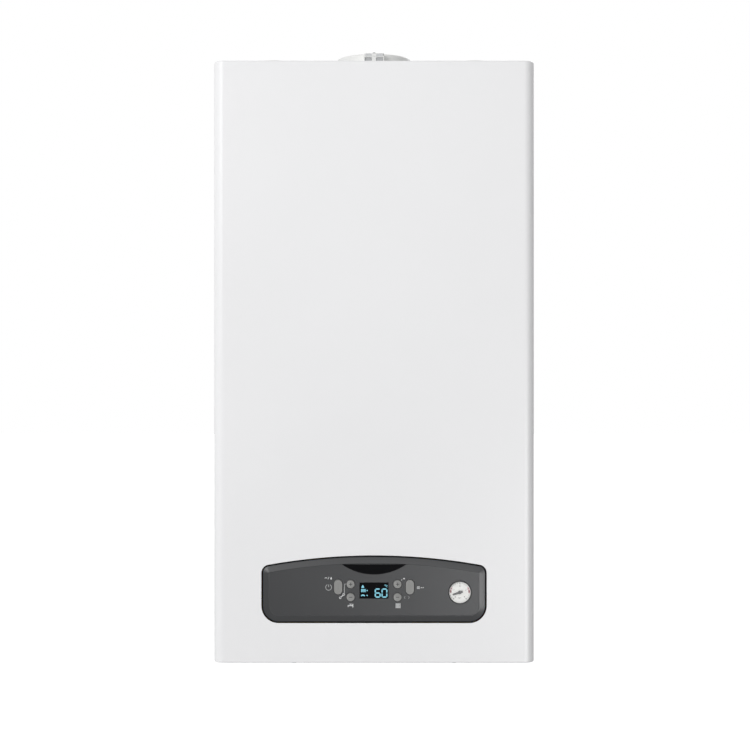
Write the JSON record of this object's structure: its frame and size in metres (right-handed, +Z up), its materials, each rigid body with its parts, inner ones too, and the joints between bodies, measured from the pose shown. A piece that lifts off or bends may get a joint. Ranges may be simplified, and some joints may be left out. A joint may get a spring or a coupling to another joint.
{
  "type": "combi boiler",
  "caption": "Wall-hung combination boiler: a white casing with a control panel, a sealed chamber with burner, exchanger and fan, and water and gas groups below.",
  "frame": {"origin": "on the wall, at the middle of the wall rail's rear face", "axes": "+Z up, -Y out of the front cover, +X to the right of someone who faces the front"},
  "size_m": [0.4, 0.3177, 0.8042],
  "materials": {
    "white_paint": "satin white powder coat",
    "zinc_sheet": "zinc-coated sheet, dull",
    "steel": "plain steel",
    "white_plastic": "moulded, fine grain",
    "cast_aluminium": "die cast, matt",
    "black_plastic": "moulded, fine grain",
    "copper": "drawn copper",
    "brass": "machined and cast brass",
    "ceramic_fibre": "fibre board",
    "electrode_ceramic": "glazed",
    "red_paint": "gloss paint",
    "red_plastic": "moulded",
    "fascia_grey": "fine-grained, semi-gloss",
    "gloss_black": "polished",
    "board_green": "solder resist",
    "button_grey": "soft matt",
    "dial_white": "printed dial",
    "clear_plastic": "clear, polished"
  },
  "bodies": {
    "boiler": {"side_panel_left": "white_paint", "side_panel_right": "white_paint", "top_panel": "zinc_sheet", "bottom_tray": "zinc_sheet", "back_frame": "zinc_sheet", "wall_rail": "zinc_sheet", "chamber_box": "zinc_sheet", "chamber_cover": "zinc_sheet", "flue_hood": "zinc_sheet", "sampling_screw": "steel", "burner": "steel", "gas_manifold": "steel", "plate_heat_exchanger": "steel", "flue_collar": "white_plastic", "sampling_cap": "white_plastic", "air_cap_left": "white_plastic", "air_cap_right": "white_plastic", "air_pressure_switch": "white_plastic", "flue_spigot": "cast_aluminium", "fan_housing": "cast_aluminium", "pump_motor": "cast_aluminium", "gas_valve": "cast_aluminium", "fan_motor": "black_plastic", "overheat_thermostat": "black_plastic", "diverter_actuator": "black_plastic", "pump_housing": "black_plastic", "heat_exchanger": "copper", "gas_pipe": "copper", "flow_pipe": "copper", "return_pipe": "copper", "flow_group": "brass", "return_group": "brass", "air_vent": "brass", "firebox": "ceramic_fibre", "electrodes": "electrode_ceramic", "expansion_vessel": "red_paint"},
    "front_cover": {"front_cover": "white_paint", "cover_screw_left": "steel", "cover_screw_right": "steel"},
    "control_box": {"control_box": "black_plastic", "fascia": "fascia_grey", "inlay_plate": "gloss_black", "display": "gloss_black", "circuit_board": "board_green", "gauge_body": "dial_white", "gauge_lens": "clear_plastic"},
    "button_upper_left": {"button_upper_left": "button_grey"},
    "button_lower_left": {"button_lower_left": "button_grey"},
    "button_upper_right": {"button_upper_right": "button_grey"},
    "button_lower_right": {"button_lower_right": "button_grey"},
    "button_oblong_left": {"button_oblong_left": "button_grey"},
    "button_oblong_right": {"button_oblong_right": "button_grey"},
    "gauge_needle": {"gauge_needle": "black_plastic"},
    "fan_wheel": {"fan_wheel": "steel"},
    "pump_wheel": {"pump_wheel": "white_plastic"},
    "diverter_stem": {"diverter_stem": "steel"},
    "safety_valve_knob": {"safety_valve_knob": "red_plastic"},
    "filling_tap_knob": {"filling_tap_knob": "black_plastic"},
    "chamber_clip_left": {"chamber_clip_left": "steel"},
    "chamber_clip_right": {"chamber_clip_right": "steel"}
  },
  "joints": [
    {"name": "cover_tilt", "type": "hinge", "parent": "boiler", "child": "front_cover", "pos_m": [0, -0.272, 0.046], "axis": [-1, 0, 0], "range_deg": [0, 20]},
    {"name": "panel_tilt", "type": "hinge", "parent": "boiler", "child": "control_box", "pos_m": [0, -0.3118, -0.647], "axis": [1, 0, 0], "range_deg": [0, 30]},
    {"name": "button_upper_left_press", "type": "slide", "parent": "control_box", "child": "button_upper_left", "axis": [0, 1, 0], "range_m": [0, 0.0012], "stiffness_N_per_m": 400},
    {"name": "button_lower_left_press", "type": "slide", "parent": "control_box", "child": "button_lower_left", "axis": [0, 1, 0], "range_m": [0, 0.0012], "stiffness_N_per_m": 400},
    {"name": "button_upper_right_press", "type": "slide", "parent": "control_box", "child": "button_upper_right", "axis": [0, 1, 0], "range_m": [0, 0.0012], "stiffness_N_per_m": 400},
    {"name": "button_lower_right_press", "type": "slide", "parent": "control_box", "child": "button_lower_right", "axis": [0, 1, 0], "range_m": [0, 0.0012], "stiffness_N_per_m": 400},
    {"name": "button_oblong_left_press", "type": "slide", "parent": "control_box", "child": "button_oblong_left", "axis": [0, 1, 0], "range_m": [0, 0.0012], "stiffness_N_per_m": 400},
    {"name": "button_oblong_right_press", "type": "slide", "parent": "control_box", "child": "button_oblong_right", "axis": [0, 1, 0], "range_m": [0, 0.0012], "stiffness_N_per_m": 400},
    {"name": "needle_turn", "type": "hinge", "parent": "control_box", "child": "gauge_needle", "pos_m": [0.1068, -0.316, -0.6078], "axis": [0, 1, 0], "range_deg": [0, 218]},
    {"name": "fan_spin", "type": "hinge", "parent": "boiler", "child": "fan_wheel", "pos_m": [-0.022, -0.165, -0.0062], "axis": [0, 1, 0], "continuous": true},
    {"name": "pump_spin", "type": "hinge", "parent": "boiler", "child": "pump_wheel", "pos_m": [0.108, -0.1, -0.546], "axis": [0, 1, 0], "continuous": true},
    {"name": "diverter_slide", "type": "slide", "parent": "boiler", "child": "diverter_stem", "axis": [0, 0, -1], "range_m": [0, 0.008], "stiffness_N_per_m": 800},
    {"name": "relief_turn", "type": "hinge", "parent": "boiler", "child": "safety_valve_knob", "pos_m": [0.148, -0.15, -0.663], "axis": [0, -1, 0], "range_deg": [0, 90]},
    {"name": "filling_turn", "type": "hinge", "parent": "boiler", "child": "filling_tap_knob", "pos_m": [0.096, -0.148, -0.696], "axis": [0, 0, -1], "range_deg": [0, 90]},
    {"name": "clip_left_turn", "type": "hinge", "parent": "boiler", "child": "chamber_clip_left", "pos_m": [-0.09, -0.246, -0.3742], "axis": [1, 0, 0], "range_deg": [0, 70]},
    {"name": "clip_right_turn", "type": "hinge", "parent": "boiler", "child": "chamber_clip_right", "pos_m": [0.09, -0.246, -0.3742], "axis": [1, 0, 0], "range_deg": [0, 70]}
  ]
}
